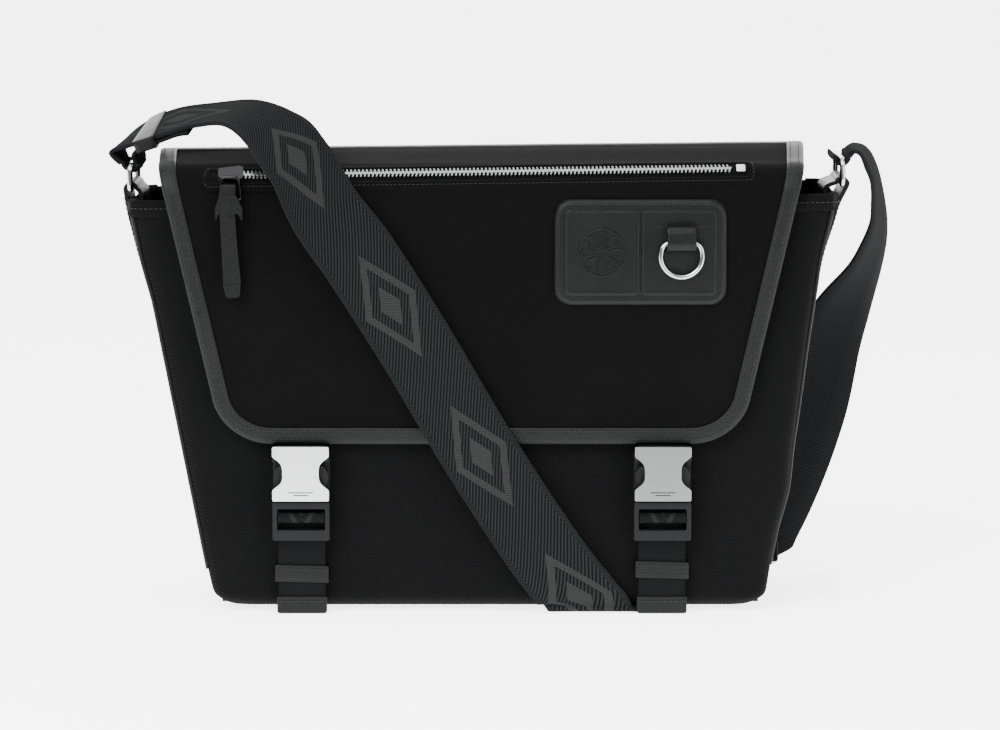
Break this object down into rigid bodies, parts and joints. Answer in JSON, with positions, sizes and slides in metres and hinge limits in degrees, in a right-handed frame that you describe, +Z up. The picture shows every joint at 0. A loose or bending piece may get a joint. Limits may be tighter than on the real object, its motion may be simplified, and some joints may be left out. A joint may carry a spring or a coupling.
{
  "type": "messenger bag",
  "caption": "Soft shoulder bag with a fold-over flap, zip pocket, side-release buckles on lower straps and a wide shoulder strap on side rings.",
  "frame": {"origin": "centre of the base, on the surface the bag stands on", "axes": "+X to the right as the flap is faced, +Y towards the back, +Z up"},
  "size_m": [0.4172, 0.1529, 0.2657],
  "materials": {
    "body_twill": "fine black twill",
    "lining_cloth": "plain black lining",
    "base_stiffener": "fibre board",
    "hem_leather": "pebbled black leather",
    "flap_nylon": "smooth dense nylon",
    "leather": "smooth black calf leather",
    "strap_webbing": "jacquard webbing with a woven motif",
    "lower_webbing": "twill webbing",
    "zip_tape": "woven tape",
    "polished_metal": "polished",
    "dark_metal": "dark polished",
    "left_plate_metal": "fine brushed",
    "right_plate_metal": "vertical brushed",
    "black_plastic": "moulded"
  },
  "bodies": {
    "bag": {"front_panel": "body_twill", "back_panel": "body_twill", "left_gusset": "body_twill", "right_gusset": "body_twill", "base_panel": "body_twill", "base_board": "base_stiffener", "mouth_hem": "hem_leather", "inner_slip_pocket": "lining_cloth", "left_chape": "leather", "right_chape": "leather", "left_anchor_webbing": "lower_webbing", "right_anchor_webbing": "lower_webbing", "left_tail_webbing": "lower_webbing", "right_tail_webbing": "lower_webbing", "left_tail_tab": "leather", "right_tail_tab": "leather", "shoulder_strap": "strap_webbing", "strap_keeper": "leather", "strap_adjuster": "dark_metal"},
    "flap_top": {"flap_top_panel": "flap_nylon", "flap_back_binding": "hem_leather"},
    "flap_front": {"flap_front_panel": "flap_nylon", "flap_binding": "hem_leather", "flap_lining": "lining_cloth", "zip_tape_upper": "zip_tape", "zip_tape_lower": "zip_tape", "zip_teeth": "polished_metal", "zip_end_stop": "polished_metal", "zip_pocket_bag": "lining_cloth", "patch_base": "leather", "patch_left_inlay": "leather", "patch_right_inlay": "leather", "ring_loop": "leather", "left_buckle_socket": "black_plastic", "right_buckle_socket": "black_plastic", "left_face_plate": "left_plate_metal", "right_face_plate": "right_plate_metal", "left_flap_webbing": "lower_webbing", "right_flap_webbing": "lower_webbing"},
    "zip_slider": {"zip_slider": "dark_metal"},
    "zip_bail": {"zip_bail": "dark_metal"},
    "zip_puller": {"zip_puller": "leather"},
    "d_ring": {"d_ring": "polished_metal"},
    "left_side_ring": {"left_side_ring": "polished_metal", "left_strap_loop": "strap_webbing"},
    "right_side_ring": {"right_side_ring": "polished_metal", "right_strap_loop": "strap_webbing"},
    "left_buckle_plug": {"left_buckle_plug": "black_plastic", "left_cross_bar": "black_plastic", "left_webbing_turn": "lower_webbing"},
    "left_keeper": {"left_keeper": "leather"},
    "left_outer_prong": {"left_outer_prong": "black_plastic"},
    "left_inner_prong": {"left_inner_prong": "black_plastic"},
    "right_buckle_plug": {"right_buckle_plug": "black_plastic", "right_cross_bar": "black_plastic", "right_webbing_turn": "lower_webbing"},
    "right_keeper": {"right_keeper": "leather"},
    "right_outer_prong": {"right_outer_prong": "black_plastic"},
    "right_inner_prong": {"right_inner_prong": "black_plastic"}
  },
  "joints": [
    {"name": "flap_back_fold", "type": "hinge", "parent": "bag", "child": "flap_top", "pos_m": [0, 0.0505, 0.2345], "axis": [-1, 0, 0], "range_deg": [0, 225], "deforming": ["shoulder_strap", "strap_keeper"]},
    {"name": "flap_shoulder_fold", "type": "hinge", "parent": "flap_top", "child": "flap_front", "pos_m": [0, -0.0397, 0.236], "axis": [-1, 0, 0], "range_deg": [0, 75]},
    {"name": "zip_slide", "type": "slide", "parent": "flap_front", "child": "zip_slider", "axis": [0.9998, 0.0123, 0.0123], "range_m": [0, 0.25], "deforming": ["zip_puller"]},
    {"name": "zip_bail_lift", "type": "hinge", "parent": "zip_slider", "child": "zip_bail", "pos_m": [-0.134, -0.0613, 0.229], "axis": [-1, 0, 0], "range_deg": [0, 100]},
    {"name": "zip_puller_swing", "type": "hinge", "parent": "zip_bail", "child": "zip_puller", "pos_m": [-0.134, -0.0613, 0.2185], "axis": [0, 1, 0], "range_deg": [-25, 25]},
    {"name": "d_ring_lift", "type": "hinge", "parent": "flap_front", "child": "d_ring", "pos_m": [0.099, -0.0622, 0.196], "axis": [-1, 0, 0], "range_deg": [0, 120]},
    {"name": "left_ring_swing", "type": "hinge", "parent": "bag", "child": "left_side_ring", "pos_m": [-0.189, 0, 0.22], "axis": [0, 1, 0], "range_deg": [-60, 35]},
    {"name": "right_ring_swing", "type": "hinge", "parent": "bag", "child": "right_side_ring", "pos_m": [0.185, 0, 0.223], "axis": [0, 1, 0], "range_deg": [-35, 60]},
    {"name": "left_buckle_release", "type": "slide", "parent": "bag", "child": "left_buckle_plug", "axis": [0, 0, -1], "range_m": [0, 0.02]},
    {"name": "left_keeper_slide", "type": "slide", "parent": "bag", "child": "left_keeper", "axis": [0, 0, 1], "range_m": [0, 0.008]},
    {"name": "left_outer_prong_flex", "type": "hinge", "parent": "left_buckle_plug", "child": "left_outer_prong", "pos_m": [-0.1087, -0.05915, 0.0641], "axis": [0, 1, 0], "range_deg": [0, 10], "stiffness_Nm_per_rad": 0.02},
    {"name": "left_inner_prong_flex", "type": "hinge", "parent": "left_buckle_plug", "child": "left_inner_prong", "pos_m": [-0.0883, -0.05915, 0.0641], "axis": [0, -1, 0], "range_deg": [0, 10], "stiffness_Nm_per_rad": 0.02},
    {"name": "right_buckle_release", "type": "slide", "parent": "bag", "child": "right_buckle_plug", "axis": [0, 0, -1], "range_m": [0, 0.02]},
    {"name": "right_keeper_slide", "type": "slide", "parent": "bag", "child": "right_keeper", "axis": [0, 0, 1], "range_m": [0, 0.008]},
    {"name": "right_outer_prong_flex", "type": "hinge", "parent": "right_buckle_plug", "child": "right_outer_prong", "pos_m": [0.1002, -0.05915, 0.0641], "axis": [0, -1, 0], "range_deg": [0, 10], "stiffness_Nm_per_rad": 0.02},
    {"name": "right_inner_prong_flex", "type": "hinge", "parent": "right_buckle_plug", "child": "right_inner_prong", "pos_m": [0.0798, -0.05915, 0.0641], "axis": [0, 1, 0], "range_deg": [0, 10], "stiffness_Nm_per_rad": 0.02}
  ],
  "couplings": [
    {"joint": "flap_shoulder_fold", "follows": "flap_back_fold", "ratio": 0.33333}
  ]
}
